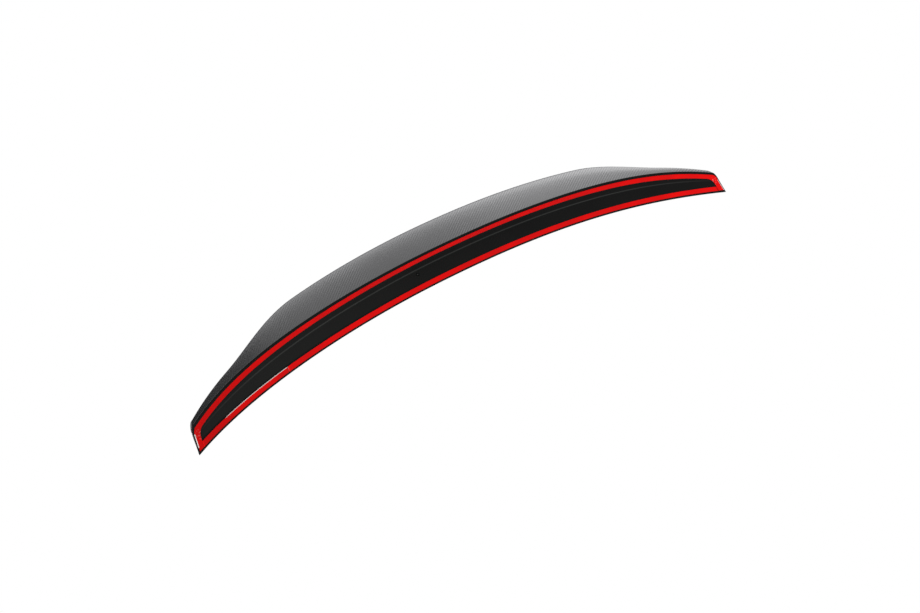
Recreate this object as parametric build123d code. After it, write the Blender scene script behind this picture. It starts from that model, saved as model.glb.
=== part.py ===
from build123d import *
from collections import namedtuple
from math import cos, hypot, radians, sin, sqrt
import os

# Rear spoiler for the trailing edge of a car's boot lid: one hollow moulding with a raised, shouldered lip,
# and foam tape with a peel-off liner on the face that goes on the lid.  Millimetres, +Z up, +X across,
# rear at -Y.  The origin is on the centre line, at the foot of the leading edge.

# Leading edge, which follows the lid
half_span = 620.0              # centre line to the front tip
edge_sweep = 72.0              # how far the front tips lie ahead of the centre
sweep_power = 2.15             # shape of that sweep along the span
deck_crown = 16.0              # even fall of the lid towards its sides
end_hook = 40.0                # extra fall close to the ends
hook_power = 6.0

# Mounting face, from the leading edge back to the rear bottom edge
seat_depth_mid = 64.0
seat_depth_end = 40.0
seat_power = 6.0
rear_rise_mid = -1.5           # rear bottom edge above the leading edge, at the centre
rear_rise_end = 9.5            # and at the ends
rise_power = 3.0
channel_depth = 13.0           # crease above the line between the two edges, at the centre
channel_power = 1.6            # how that depth dies away to nothing at the ends
crease_from_rear = 26.0        # crease to rear bottom edge, at the centre

# Raised rear face with its shoulders
kick_height = 48.5             # lip above the rear bottom edge, at the centre
kick_fall = 19.5               # fall of the lip line towards the sides
kick_lean = 38.0               # degrees from upright, towards the rear
shoulder_foot_height = 13.7    # lip height at the foot of the shoulder
shoulder_foot_from_tip = 112.0
shoulder_run = 173.0           # length of the drop, along the span
tip_height = 4.4               # lip height at the ends

# Wall and edges
wall = 3.0
cavity_inset = 43.0            # end of the hollow to the foot of the shoulder
front_thickness = 2.8
front_nose = 1.0               # roundness of the leading edge
lip_thickness = 3.0
lip_nose = 1.0                 # roundness of the lip
top_dish = 4.0                 # hollow of the top face below a straight line, at the centre
rear_corner_radius = 2.0
end_slant = 6.0                # how far the rear corner lies inboard of the front tip
end_corner_radius = 24.0       # rear corner, seen from above

# Round moulding mark on the floor of the channel
mark_x = -98.0
mark_from_crease = 8.5
mark_diameter = 6.0
mark_nub_diameter = 2.4
mark_depth = 0.7

# Foam tape and its liner
tape_width = 10.0
foam_thickness = 1.0
liner_thickness = 0.15
front_margin = 3.3             # bare rim along the leading edge
rear_margin = 5.0              # along the rear bottom edge
end_margin = 2.2               # at the ends
fold_margin = 1.0              # front tape to the fold where the channel starts
bend_outer_radius = 13.0       # outer edge where the tape turns the rear corners
bend_inner_radius = 20.0       # inner edge there
joint_from_tip = 214.0         # left tip to the butt joint between the two lengths of front tape
joint_gap = 0.4

station_count = 29             # even sections along the whole span
station_step = 2 * half_span / (station_count - 1)
even_stations = [i * station_step - half_span for i in range(station_count)]
end_station = half_span - station_step / 2
stations = sorted([-end_station, *even_stations, end_station])
shoulder_foot = half_span - shoulder_foot_from_tip
cavity_reach = shoulder_foot - cavity_inset
end_start = half_span - 2 * end_corner_radius      # inner limit of the cuts at the ends
spare = seat_depth_mid         # how far cutting prisms reach past the body

Section = namedtuple("Section", "front fold crease rear lip_low lip_high top_front along rise dish")


def smooth_step(t):
    t = min(max(t, 0.0), 1.0)
    return t * t * (3 - 2 * t)


def lip_height(x):
    """Lip above the rear bottom edge: a shallow bow, dropping at the shoulders to a taper towards the ends."""
    bow = kick_height - kick_fall * (x / half_span) ** 2
    taper = tip_height + (shoulder_foot_height - tip_height) * (half_span - abs(x)) / shoulder_foot_from_tip
    return taper + (bow - taper) * smooth_step((shoulder_foot - abs(x)) / shoulder_run)


def section(x):
    """Corners and directions of the section at x, as vectors of its Y and Z."""
    s = abs(x) / half_span
    front = Vector(edge_sweep * s**sweep_power, -deck_crown * s**2 - end_hook * s**hook_power)
    depth = seat_depth_mid + (seat_depth_end - seat_depth_mid) * s**seat_power
    rear = front + Vector(-depth, rear_rise_mid + (rear_rise_end - rear_rise_mid) * s**rise_power)
    along = (rear - front).normalized()
    rise = Vector(along.Y, -along.X)
    fold = front + along * (front_margin + tape_width + fold_margin)
    crease = rear - along * (crease_from_rear * depth / seat_depth_mid)
    crease += rise * (channel_depth * (1 - s**channel_power))
    lean = radians(kick_lean)
    lip_low = rear + Vector(-sin(lean), cos(lean)) * (lip_height(x) / cos(lean))
    lip_high = lip_low + Vector(cos(lean), sin(lean)) * lip_thickness
    top_front = front + rise * front_thickness
    dish = top_dish * lip_height(x) / kick_height
    return Section(front, fold, crease, rear, lip_low, lip_high, top_front, along, rise, dish)


def at(x, p):
    return Vector(x, p.X, p.Y)


def left_of(d):
    """Direction d turned a quarter to the left."""
    return Vector(-d.Y, d.X)


def meet(p, d, q, e):
    """Point where the line through p along d crosses the line through q along e."""
    return p + d * ((q - p).dot(left_of(e)) / d.dot(left_of(e)))


def straight(x, p, q):
    return Line(at(x, p), at(x, q))


def bowed(x, p, q, bulge):
    """Arc from p to q that stands out by bulge, to the left of the way from p to q."""
    middle = (p + q) * 0.5 + left_of((q - p).normalized()) * bulge
    return ThreePointArc(at(x, p), at(x, middle), at(x, q))


def nose(x, p, q, bulge):
    """Round edge from p to q that stands out by bulge, as two arcs of one circle."""
    top = (p + q) * 0.5 + left_of((q - p).normalized()) * bulge
    radius = ((q - p).length ** 2 / 4 + bulge**2) / (2 * bulge)
    half_bulge = radius - sqrt(radius**2 - (top - p).length ** 2 / 4)
    return [bowed(x, p, top, half_bulge), bowed(x, top, q, half_bulge)]


def body_wire(x):
    """Outline of the section: mounting face, rear corner, rear face, lip, dished top, leading edge."""
    c = section(x)
    nose_foot = c.front + c.along * front_nose
    nose_top = c.top_front + c.along * front_nose
    land = (c.rear - c.crease).normalized()
    face = (c.lip_low - c.rear).normalized()
    half_turn = (face - land).length / (face + land).length
    before = c.rear - land * (rear_corner_radius * half_turn)
    after = c.rear + face * (rear_corner_radius * half_turn)
    rounding = rear_corner_radius * (1 - 1 / hypot(1, half_turn))
    return Wire([
        straight(x, nose_foot, c.fold),
        straight(x, c.fold, c.crease),
        straight(x, c.crease, before),
        bowed(x, before, after, rounding),
        straight(x, after, c.lip_low),
        *nose(x, c.lip_low, c.lip_high, lip_nose),
        bowed(x, c.lip_high, nose_top, -c.dish),
        *nose(x, nose_top, nose_foot, front_nose),
    ])


def cavity_wire(x):
    """Triangle one wall inside the rear land, the rear face and the top face."""
    c = section(x)
    land = (c.rear - c.crease).normalized()
    face = (c.lip_low - c.rear).normalized()
    top = (c.lip_high - c.top_front).normalized()
    over_land = c.rear - left_of(land) * wall
    inside_face = c.rear - left_of(face) * wall
    under_top = c.lip_high + left_of(top) * (c.dish + wall)
    corners = [
        meet(over_land, land, under_top, top),
        meet(over_land, land, inside_face, face),
        meet(inside_face, face, under_top, top),
    ]
    return Wire.make_polygon([at(x, p) for p in corners])


def shifted(path, depth):
    """Path moved by depth square to its runs, with mitred corners; positive is below the surface."""
    sides = [left_of((q - p).normalized()) for p, q in zip(path, path[1:])]
    mitres = [(m + n) / (1 + m.dot(n)) for m, n in zip(sides[:1] + sides, sides + sides[-1:])]
    return [p + m * depth for p, m in zip(path, mitres)]


def layer_wire(x, top, bottom):
    """Slab that hugs the mounting face, between two depths below its surface."""
    c = section(x)
    path = [c.front, c.fold, c.crease, c.rear]
    return Wire.make_polygon([at(x, p) for p in shifted(path, bottom) + shifted(path, top)[::-1]])


def strung(wire_at, reach):
    """Smooth solid through the stations within reach of the centre line, with its ends at reach."""
    between = [x for x in stations if abs(x) < reach - station_step / 4]
    return Solid.make_loft([wire_at(x) for x in [-reach, *between, reach]])


def upright(face):
    """Prism on a face seen from above, through the whole height of the spoiler."""
    low = section(half_span).front.Y - spare
    high = section(0).lip_high.Y + spare
    return extrude(Pos(0, 0, low) * face, high - low, dir=(0, 0, 1))


def end_line(y, inset):
    """X of the right end's slanted cut at y, moved inboard by inset."""
    c = section(half_span)
    tip = c.front.X + front_nose
    return half_span - end_slant * (tip - y) / (tip - c.rear.X) - inset


def end_waste():
    """Prism outside the right end's slanted cut and its round rear corner."""
    far = half_span + spare
    high = section(half_span).front.X + spare
    low = section(0).lip_low.X - spare
    tip = Vector(end_line(high, 0), high)
    end_run = Vector(end_line(low, 0), low) - tip
    rear_start = Vector(end_start, section(end_start).lip_low.X - lip_nose)
    rear_run = Vector(half_span, section(half_span).lip_low.X - lip_nose) - rear_start
    corner = meet(tip, end_run, rear_start, rear_run)
    kept = make_face(Polyline((end_start, high), tip, corner, rear_start, close=True))
    kept = fillet(kept.vertices().sort_by_distance(corner)[0], end_corner_radius)
    whole = make_face(Polyline((end_start, high), (far, high), (far, low), (end_start, low), close=True))
    return upright(whole - kept)


def make_mark():
    """Ring-shaped recess round a flush nub, square to the floor of the channel."""
    c = section(mark_x)
    floor_run = (c.crease - c.fold).normalized()
    centre = c.crease - floor_run * mark_from_crease
    out = left_of(floor_run)
    floor = Plane(at(mark_x, centre), x_dir=(1, 0, 0), z_dir=(0, out.X, out.Y))
    ring = Circle(mark_diameter / 2) - Circle(mark_nub_diameter / 2)
    return extrude(floor * ring, mark_depth, both=True)


def plan_band(front_edge, rear_edge, inset):
    """Face seen from above, between two curves along the span and the slanted ends, which move in by inset."""
    front_points = [(x, front_edge(x)) for x in stations]
    rear_points = [(x, rear_edge(x)) for x in reversed(stations)]
    band = make_face([
        Spline(front_points),
        Line(front_points[-1], rear_points[0]),
        Spline(rear_points),
        Line(rear_points[-1], front_points[0]),
    ])
    high = section(half_span).front.X + spare
    low = section(0).lip_low.X - spare
    right = [(end_line(y, inset), y) for y in (high, low)]
    left = [(-x, y) for x, y in reversed(right)]
    return band & make_face(Polyline(*right, *left, close=True))


def round_rear_corners(face, radius):
    corners = face.vertices().sort_by(Axis.X)
    return fillet([pair.sort_by(Axis.Y)[0] for pair in (corners[:2], corners[-2:])], radius)


def from_front(distance):
    """Curve along the front land, seen from above, at distance from the leading edge."""
    return lambda x: (section(x).front + section(x).along * distance).X


def from_rear(distance):
    """Curve along the rear land, seen from above, at distance from the rear bottom edge."""
    return lambda x: (section(x).rear + (section(x).crease - section(x).rear).normalized() * distance).X


def rear_tape_plan():
    """Tape along the rear land, turned forward round both rear corners to the leading edge's rim."""
    front_edge = from_front(front_margin)
    outside = plan_band(front_edge, from_rear(rear_margin), end_margin)
    inside = plan_band(front_edge, from_rear(rear_margin + tape_width), end_margin + tape_width)
    return round_rear_corners(outside, bend_outer_radius) - round_rear_corners(inside, bend_inner_radius)


def front_tape_plan(start, stop):
    """Length of the front tape between two places along the span, inside the rear tape's turned ends."""
    front_edge = from_front(front_margin)
    whole = plan_band(front_edge, from_front(front_margin + tape_width), end_margin + tape_width)
    return whole & Pos((start + stop) / 2, 0) * Rectangle(stop - start, 2 * half_span)


def make_body(outer):
    """Hollow body, with its ends cut off and the round mark in the channel."""
    waste = end_waste()
    return outer - waste - mirror(waste, about=Plane.YZ) - strung(cavity_wire, cavity_reach) - make_mark()


def make_tapes(outer):
    """Foam and liner of each length of tape, by node name."""
    liner_depth = foam_thickness + liner_thickness
    foam_layer = strung(lambda x: layer_wire(x, -wall / 2, foam_thickness), half_span)
    liner_layer = strung(lambda x: layer_wire(x, 0, liner_depth), half_span)
    joint = joint_from_tip - half_span
    plans = {
        "rear_tape": rear_tape_plan(),
        "front_tape_left": front_tape_plan(-half_span, joint),
        "front_tape_main": front_tape_plan(joint + joint_gap, half_span),
    }
    tapes = {}
    for name, plan in plans.items():
        prism = upright(plan)
        tapes[f"{name}_foam"] = (prism & foam_layer) - outer
        tapes[f"{name}_liner"] = (prism & liner_layer) - foam_layer
    return tapes


def main():
    outer = strung(body_wire, half_span)
    nodes = {"spoiler_body": make_body(outer), **make_tapes(outer)}
    os.makedirs("parts", exist_ok=True)
    for name, solid in nodes.items():
        export_step(solid, f"parts/{name}.step")


main()
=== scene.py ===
"""Looks of a boot lid spoiler: a carbon-look moulding with red-lined tape on its mounting face.

Metres throughout, +Z up, +X across the car, rear of the car at -Y.  The moulding and the tape are
worked out from the same section formulas as the solids that they stand for, so they lie where the
solids lie.
"""

from __future__ import annotations

import logging
from dataclasses import dataclass
from enum import Enum, IntEnum
from typing import Any, Callable

import bpy
import numpy as np
from mathutils import Euler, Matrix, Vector

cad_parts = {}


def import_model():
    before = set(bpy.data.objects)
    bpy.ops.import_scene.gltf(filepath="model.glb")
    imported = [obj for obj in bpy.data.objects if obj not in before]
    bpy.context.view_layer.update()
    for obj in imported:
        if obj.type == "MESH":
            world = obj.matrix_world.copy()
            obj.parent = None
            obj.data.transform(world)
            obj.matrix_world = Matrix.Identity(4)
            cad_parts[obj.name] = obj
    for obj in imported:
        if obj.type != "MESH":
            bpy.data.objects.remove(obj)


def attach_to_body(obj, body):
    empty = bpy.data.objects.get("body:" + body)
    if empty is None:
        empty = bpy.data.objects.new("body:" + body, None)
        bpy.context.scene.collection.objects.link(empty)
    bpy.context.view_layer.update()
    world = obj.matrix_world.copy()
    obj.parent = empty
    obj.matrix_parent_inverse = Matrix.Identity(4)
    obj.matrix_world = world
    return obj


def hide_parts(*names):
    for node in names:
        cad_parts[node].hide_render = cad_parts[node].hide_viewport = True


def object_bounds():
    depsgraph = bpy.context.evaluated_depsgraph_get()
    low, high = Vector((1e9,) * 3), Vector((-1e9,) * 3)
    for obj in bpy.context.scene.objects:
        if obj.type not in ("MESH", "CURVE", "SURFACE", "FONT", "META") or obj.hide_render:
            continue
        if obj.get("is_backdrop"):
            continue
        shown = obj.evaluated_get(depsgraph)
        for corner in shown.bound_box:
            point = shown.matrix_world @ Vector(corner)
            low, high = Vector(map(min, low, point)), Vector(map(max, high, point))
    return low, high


LOG = logging.getLogger("spoiler")
ROOT_BODY = "root"
WEAVE_MAP = "weave"
WHITE = (1.0, 1.0, 1.0, 1.0)
QUAD = 4
MM = 0.001

Array = np.ndarray
Material = bpy.types.Material
Node = bpy.types.Node
NodeTree = bpy.types.NodeTree
Piece = bpy.types.Object
Socket = bpy.types.NodeSocket
Colour = tuple[float, float, float, float]
Place = tuple[float, float, float]
Span = tuple[float, float]


def unit(v: Array) -> Array:
    """Vectors along the last axis, brought to length one."""
    return v / np.linalg.norm(v, axis=-1, keepdims=True)


def left_of(v: Array) -> Array:
    """Plane vectors along the last axis, turned a quarter to the left."""
    return np.stack([-v[..., 1], v[..., 0]], axis=-1)


def ease(t: Array) -> Array:
    """Smooth step from 0 to 1, flat at both ends: three squares less two cubes."""
    t = np.clip(t, 0.0, 1.0)
    return t * t * (3 - 2 * t)


def lengths_along(points: Array) -> Array:
    """Length from the first point to each point of a line, the points along the first axis."""
    steps = np.linalg.norm(np.diff(points, axis=0), axis=-1)
    return np.concatenate([np.zeros((1,) + steps.shape[1:]), np.cumsum(steps, axis=0)])


@dataclass(frozen=True)
class Corners:
    """Corners and directions of sections, as arrays of (Y, Z) pairs, and the dish's depth."""

    front: Array
    fold: Array
    crease: Array
    rear: Array
    lip_low: Array
    lip_high: Array
    top_front: Array
    along: Array
    dish: Array


@dataclass(frozen=True)
class SpoilerForm:
    """Section formulas of the spoiler, in the share s of the half span."""

    half_span: float = 620 * MM
    edge_sweep: float = 72 * MM
    sweep_power: float = 2.15
    deck_crown: float = 16 * MM
    end_hook: float = 40 * MM
    hook_power: float = 6.0
    seat_depth_mid: float = 64 * MM
    seat_depth_end: float = 40 * MM
    seat_power: float = 6.0
    rear_rise_mid: float = -1.5 * MM
    rear_rise_end: float = 9.5 * MM
    rise_power: float = 3.0
    channel_depth: float = 13 * MM
    channel_power: float = 1.6
    crease_from_rear: float = 26 * MM
    kick_height: float = 48.5 * MM
    kick_fall: float = 19.5 * MM
    kick_lean: float = np.radians(38.0)
    shoulder_foot_height: float = 13.7 * MM
    shoulder_foot_from_tip: float = 112 * MM
    shoulder_run: float = 173 * MM
    tip_height: float = 4.4 * MM
    front_thickness: float = 2.8 * MM
    lip_thickness: float = 3 * MM
    top_dish: float = 4 * MM
    fold_from_front: float = 14.3 * MM
    front_nose: float = 1 * MM
    end_slant: float = 6 * MM

    def lip_height(self, x: Array) -> Array:
        """Height of the lip above the rear edge.

        It is a shallow bow, eased at the shoulders to a taper that runs to the ends.

        Args:
            x: places along the span.

        Returns:
            The height at each place.
        """
        bow = self.kick_height - self.kick_fall * (x / self.half_span) ** 2
        slope = (self.shoulder_foot_height - self.tip_height) / self.shoulder_foot_from_tip
        taper = self.tip_height + slope * (self.half_span - np.abs(x))
        foot = self.half_span - self.shoulder_foot_from_tip
        return taper + (bow - taper) * ease((foot - np.abs(x)) / self.shoulder_run)

    def corners(self, x: Array) -> Corners:
        """Corners of the sections at x.

        Front edge: y grows with s to the sweep power, z falls with the square of s and with s to
        the hook power.  The seat runs back from it by a depth and a rise that change with powers
        of s, and the crease stands above the seat line.

        Args:
            x: places along the span, in any array shape.

        Returns:
            The corners, each of x's shape with one more axis for Y and Z.
        """
        s = np.abs(x) / self.half_span
        fall = -self.deck_crown * s**2 - self.end_hook * s**self.hook_power
        front = np.stack([self.edge_sweep * s**self.sweep_power, fall], axis=-1)
        deeper = self.seat_depth_end - self.seat_depth_mid
        depth = self.seat_depth_mid + deeper * s**self.seat_power
        rise = self.rear_rise_mid + (self.rear_rise_end - self.rear_rise_mid) * s**self.rise_power
        rear = front + np.stack([-depth, rise], axis=-1)
        along = unit(rear - front)
        up = -left_of(along)
        fold = front + along * self.fold_from_front
        back = self.crease_from_rear * depth / self.seat_depth_mid
        deep = self.channel_depth * (1 - s**self.channel_power)
        crease = rear - along * back[..., None] + up * deep[..., None]
        height = self.lip_height(x)
        lean = np.array([-np.sin(self.kick_lean), np.cos(self.kick_lean)])
        lip_low = rear + (height / np.cos(self.kick_lean))[..., None] * lean
        lip_high = lip_low - left_of(lean) * self.lip_thickness
        top_front = front + up * self.front_thickness
        dish = self.top_dish * height / self.kick_height
        return Corners(front, fold, crease, rear, lip_low, lip_high, top_front, along, dish)

    def front_land(self, x: Array, distance: float) -> Array:
        """Points of the front land at a distance from the leading edge, as (Y, Z)."""
        c = self.corners(x)
        return c.front + c.along * distance

    def rear_land(self, x: Array, distance: float) -> Array:
        """Points of the rear land at a distance from the rear edge, as (Y, Z)."""
        c = self.corners(x)
        return c.rear + unit(c.crease - c.rear) * distance

    def end_line(self, y: Array, inset: float) -> Array:
        """Straight line of the right end's slanted cut, seen from above.

        Args:
            y: places along the car.
            inset: distance inboard of the cut.

        Returns:
            X at each place.
        """
        c = self.corners(np.array(self.half_span))
        tip = c.front[0] + self.front_nose
        return self.half_span - self.end_slant * (tip - y) / (tip - c.rear[0]) - inset

    def seat_height(self, x: Array, y: Array) -> Array:
        """Height of the mounting face over plan points.

        Straight runs join the front edge, the fold, the crease and the rear edge.

        Args:
            x: places across the car.
            y: places along the car, of x's shape.

        Returns:
            Z at each point.
        """
        c = self.corners(x)

        def run(a: Array, b: Array) -> Array:
            """Height at y on the line from one corner to the next."""
            climb = (b[..., 1] - a[..., 1]) * (y - a[..., 0])
            return a[..., 1] + climb / (b[..., 0] - a[..., 0])

        behind = np.where(y > c.crease[..., 0], run(c.fold, c.crease), run(c.crease, c.rear))
        return np.where(y > c.fold[..., 0], run(c.front, c.fold), behind)

    def seat_normal(self, x: Array, y: Array) -> Array:
        """Normals that point out of the mounting face, from its slopes along X and Y.

        Args:
            x: places across the car.
            y: places along the car, of x's shape.

        Returns:
            A unit vector at each point.
        """
        step = 0.2 * MM
        rise_x = self.seat_height(x + step, y) - self.seat_height(x - step, y)
        rise_y = self.seat_height(x, y + step) - self.seat_height(x, y - step)
        slopes = [rise_x / (2 * step), rise_y / (2 * step), -np.ones_like(x)]
        return unit(np.stack(slopes, axis=-1))


def mesh_object(name: str, points: Array, faces: list[Array]) -> Piece:
    """Smooth-shaded mesh object at the origin.

    Args:
        name: the object's name.
        points: vertices, in rows of three.
        faces: arrays of vertex numbers, each with one face a row.

    Returns:
        The object, linked to the scene.
    """
    mesh = bpy.data.meshes.new(name)
    mesh.from_pydata(points.tolist(), [], [face for group in faces for face in group.tolist()])
    mesh.polygons.foreach_set("use_smooth", np.ones(len(mesh.polygons), dtype=bool))
    mesh.validate()
    piece = bpy.data.objects.new(name, mesh)
    bpy.context.scene.collection.objects.link(piece)
    return piece


def ring_faces(rows: int, columns: int) -> Array:
    """Quads of a grid that closes on itself across its columns.

    Args:
        rows: rows of the grid.
        columns: points in each row.

    Returns:
        Rows of four vertex numbers.
    """
    i, j = np.meshgrid(np.arange(rows - 1), np.arange(columns), indexing="ij")
    k = (j + 1) % columns
    low, high = i * columns, (i + 1) * columns
    return np.stack([low + j, high + j, high + k, low + k], axis=-1).reshape(-1, QUAD)


def write_mask(piece: Piece, name: str, values: Array) -> None:
    """Gives every point of a piece a number under a name, for its material to read."""
    attribute = piece.data.attributes.new(name, "FLOAT", "POINT")
    attribute.data.foreach_set("value", values.astype(np.float32).ravel())


def stage_card(name: str, middle: Array, side: Array, rise: Array) -> Piece:
    """Flat four-cornered piece of the stage.

    Args:
        name: the object's name.
        middle: its middle.
        side: step from its middle to one edge.
        rise: step from its middle to the next edge.

    Returns:
        The object.
    """
    corners = middle + np.array([-side - rise, side - rise, side + rise, rise - side])
    card = mesh_object(name, corners, [np.arange(QUAD)[None]])
    card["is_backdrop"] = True
    return card


class MixKind(Enum):
    """Data type of a Mix node, with the places of A, B and the result among its sockets."""

    NUMBER = ("FLOAT", 2, 3, 0)
    COLOUR = ("RGBA", 6, 7, 2)


class Graph:
    """Shader nodes of one material, world or group, added and joined in short calls."""

    def __init__(self, tree: NodeTree) -> None:
        """Keeps the node tree that the nodes go into."""
        self.tree = tree

    def plug(self, value: Any, socket: Socket) -> None:
        """Links a socket to an input, or sets the input to a plain value.

        Args:
            value: socket or plain value, or None for an input that stays as it is.
            socket: the input.
        """
        if isinstance(value, Socket):
            self.tree.links.new(value, socket)
        elif value is not None:
            socket.default_value = value

    def fill(self, node: Node, inputs: dict[str, Any]) -> None:
        """Links or sets inputs of a node by name."""
        for key, value in inputs.items():
            self.plug(value, node.inputs[key])

    def node(self, kind: str, inputs: dict[str, Any] | None = None, **settings: Any) -> Node:
        """Adds a node.

        Args:
            kind: the node's type, without its ShaderNode prefix.
            inputs: values or sockets by input name.
            **settings: properties of the node.

        Returns:
            The node.
        """
        made = self.tree.nodes.new(f"ShaderNode{kind}")
        for key, value in settings.items():
            setattr(made, key, value)
        self.fill(made, inputs or {})
        return made

    def math(self, operation: str, a: Any, b: Any = None, c: Any = None) -> Socket:
        """Adds one math operation on sockets or numbers.

        Args:
            operation: its name.
            a: first value.
            b: second value, where it has one.
            c: third value, where it has one.

        Returns:
            The result's socket.
        """
        made = self.node("Math", operation=operation)
        for value, socket in zip((a, b, c), made.inputs):
            self.plug(value, socket)
        return made.outputs[0]

    def blend(
        self, share: Any, a: Any, b: Any, kind: MixKind = MixKind.COLOUR, mode: str = "MIX"
    ) -> Socket:
        """Blends two values.

        Args:
            share: of the way from a to the blend.
            a: first value.
            b: second value.
            kind: of both values.
            mode: how b acts on a.

        Returns:
            The result's socket.
        """
        data_type, place_a, place_b, place_result = kind.value
        made = self.node("Mix", data_type=data_type, blend_type=mode)
        for value, place in ((share, 0), (a, place_a), (b, place_b)):
            self.plug(value, made.inputs[place])
        return made.outputs[place_result]

    def span(self, value: Any, to: Span, start: Span = (0.0, 1.0)) -> Socket:
        """Carries a value from one range to another, and keeps it inside.

        Args:
            value: socket or number.
            to: range that it is carried to.
            start: range that it comes from.

        Returns:
            The result's socket.
        """
        names = ("From Min", "From Max", "To Min", "To Max")
        inputs = {"Value": value, **dict(zip(names, (*start, *to)))}
        return self.node("MapRange", inputs).outputs[0]

    def mask(self, name: str) -> Socket:
        """Number that the piece's points carry under a name."""
        return self.node("Attribute", attribute_name=name).outputs["Fac"]

    def either(self, fac: Socket, first: Node, second: Node, end: Socket) -> None:
        """Ends a tree in one of two shaders.

        Args:
            fac: nought for the first shader and one for the second.
            first: node of the first shader.
            second: node of the second shader.
            end: input that takes the result.
        """
        made = self.node("MixShader", {"Fac": fac})
        self.plug(first.outputs[0], made.inputs[1])
        self.plug(second.outputs[0], made.inputs[2])
        self.plug(made.outputs[0], end)

    def group(self, tree: NodeTree, **inputs: Any) -> Node:
        """Places a node group with its own values.

        Args:
            tree: the group.
            **inputs: values or sockets by input name, with underscores for spaces.

        Returns:
            The group's node.
        """
        made = self.node("Group", node_tree=tree)
        self.fill(made, {key.replace("_", " "): value for key, value in inputs.items()})
        return made


def new_group(name: str, inputs: list[str], outputs: list[str]) -> tuple[Graph, Any, Any]:
    """Empty node group of plain numbers.

    Args:
        name: the group's name.
        inputs: names of its inputs.
        outputs: names of its outputs.

    Returns:
        Its graph, the sockets of its inputs by name, and its output node.
    """
    tree = bpy.data.node_groups.new(name, "ShaderNodeTree")
    for in_out, keys in (("INPUT", inputs), ("OUTPUT", outputs)):
        for key in keys:
            tree.interface.new_socket(name=key, in_out=in_out, socket_type="NodeSocketFloat")
    given, result = (tree.nodes.new(f"NodeGroup{way}") for way in ("Input", "Output"))
    return Graph(tree), given.outputs, result


def grain_group() -> NodeTree:
    """Fine moulded grain with slow patches: noise at two scales on Object coordinates.

    Returns:
        The group.
    """
    graph, given, result = new_group(
        "moulded_grain", ["Fine Scale", "Patch Scale"], ["Height", "Patch"]
    )
    place = graph.node("TexCoord").outputs["Object"]
    for scale, detail, output in (("Fine Scale", 2.0, "Height"), ("Patch Scale", 3.0, "Patch")):
        inputs = {"Vector": place, "Scale": given[scale], "Detail": detail}
        graph.plug(graph.node("TexNoise", inputs).outputs["Fac"], result.inputs[output])
    return graph.tree


def twill_group() -> NodeTree:
    """Two-by-two twill on the piece's own UV map.

    A point lies in tow i across and tow j along.  The weft is on top where i - j, counted round in
    fours, is nought or one.  Each tow is round across its own width, and has a tone of its own.

    Returns:
        The group.
    """
    graph, given, result = new_group("twill", ["Tow Width", "Turn"], ["Weft", "Height", "Tone"])
    repeat = 4.0
    below_two = 1.5
    weft_offset = 0.5  # keeps the numbers of wefts apart from those of warps, and so their tones
    flat = {"Vector": graph.node("UVMap", uv_map=WEAVE_MAP).outputs["UV"], "Angle": given["Turn"]}
    turned = graph.node("VectorRotate", flat, rotation_type="Z_AXIS").outputs["Vector"]
    place = graph.node("SeparateXYZ", {"Vector": turned}).outputs
    across, along = (graph.math("DIVIDE", place[axis], given["Tow Width"]) for axis in "XY")
    i, j = graph.math("FLOOR", across), graph.math("FLOOR", along)
    count = graph.math("FLOORED_MODULO", graph.math("SUBTRACT", i, j), repeat)
    weft = graph.math("LESS_THAN", count, below_two)

    def crown(share: Socket) -> Socket:
        """Round top of one tow: one less the square of the distance from its middle.

        Args:
            share: place across the tows, in tow widths.

        Returns:
            Height, from nought to one.
        """
        side = graph.math("MULTIPLY_ADD", graph.math("FRACT", share), 2.0, -1.0)
        square = graph.math("POWER", graph.math("ABSOLUTE", side), 2.0)
        return graph.math("SUBTRACT", 1.0, square)

    def chosen(of_warp: Socket, of_weft: Socket) -> Socket:
        """The weft's value where the weft is on top, and the warp's elsewhere."""
        return graph.blend(weft, of_warp, of_weft, MixKind.NUMBER)

    tow = chosen(i, graph.math("ADD", j, weft_offset))
    tone = graph.node("TexWhiteNoise", {"W": tow}, noise_dimensions="1D").outputs["Value"]
    graph.fill(result, {"Weft": weft, "Height": chosen(crown(across), crown(along)), "Tone": tone})
    return graph.tree


@dataclass(frozen=True)
class Groups:
    """Node groups shared by the finishes."""

    grain: NodeTree
    twill: NodeTree


def new_material(name: str) -> tuple[Material, Graph, Node]:
    """Material with a bare Principled shader.

    Args:
        name: the material's name.

    Returns:
        The material, its graph and its shader.
    """
    material = bpy.data.materials.new(name)
    material.use_nodes = True
    graph = Graph(material.node_tree)
    return material, graph, material.node_tree.nodes["Principled BSDF"]


@dataclass(frozen=True, kw_only=True)
class Finish:
    """What the finishes share: grain at two scales, a roughness that varies, and relief."""

    fine_scale: float = 0.0
    patch_scale: float
    roughness: float
    spread: float = 0.1
    specular: float = 0.5  # the shader's own level
    bump: float
    bump_depth: float = 0.1 * MM

    def grain(self, graph: Graph, groups: Groups) -> Any:
        """Outputs of the shared grain at this finish's two scales."""
        scales = {"Fine_Scale": self.fine_scale, "Patch_Scale": self.patch_scale}
        return graph.group(groups.grain, **scales).outputs

    def dress(
        self, graph: Graph, shader: Node, colour: Socket, gloss: Socket, height: Socket
    ) -> None:
        """Gives a shader what every finish has.

        Args:
            graph: the material's graph.
            shader: its shader.
            colour: base colour.
            gloss: mask that the roughness follows, from a spread below its middle to one above.
            height: what the relief follows.
        """
        rough = (self.roughness - self.spread, self.roughness + self.spread)
        relief = {"Strength": self.bump, "Distance": self.bump_depth, "Height": height}
        looks = {
            "Base Color": colour,
            "Roughness": graph.span(gloss, rough),
            "Normal": graph.node("Bump", relief).outputs["Normal"],
            "Specular IOR Level": self.specular,
        }
        graph.fill(shader, looks)


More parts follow.
